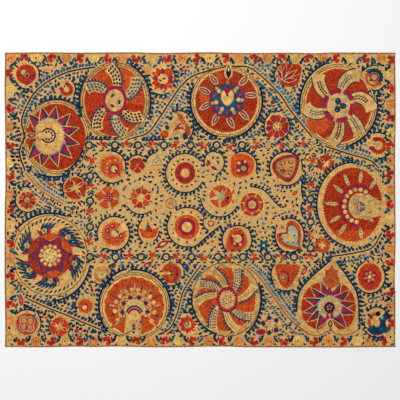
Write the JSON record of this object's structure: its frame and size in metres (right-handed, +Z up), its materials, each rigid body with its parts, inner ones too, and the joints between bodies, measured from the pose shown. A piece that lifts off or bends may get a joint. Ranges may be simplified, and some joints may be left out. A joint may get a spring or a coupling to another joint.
{
  "type": "suzani embroidered textile",
  "caption": "Large rectangular cotton hanging of joined loom widths with silk rosettes, leafy vines and borders, edged all round and laid flat, used as a cover or wall textile.",
  "frame": {"origin": "under the middle of the cloth, on the surface it lies on", "axes": "+X along the long side, +Y along the short side towards the top edge, +Z up out of the embroidered face"},
  "size_m": [2.325, 1.755, 0.0026],
  "materials": {
    "cotton_ground": "matt golden tan hand-woven cotton with couched silk",
    "edging": "narrow woven silk band in ochre and brown"
  },
  "bodies": {
    "root": {"panel_top": "cotton_ground", "panel_upper": "cotton_ground", "panel_middle": "cotton_ground", "panel_lower": "cotton_ground", "panel_bottom": "cotton_ground", "edging_top": "edging", "edging_bottom": "edging", "edging_left": "edging", "edging_right": "edging"}
  },
  "joints": []
}
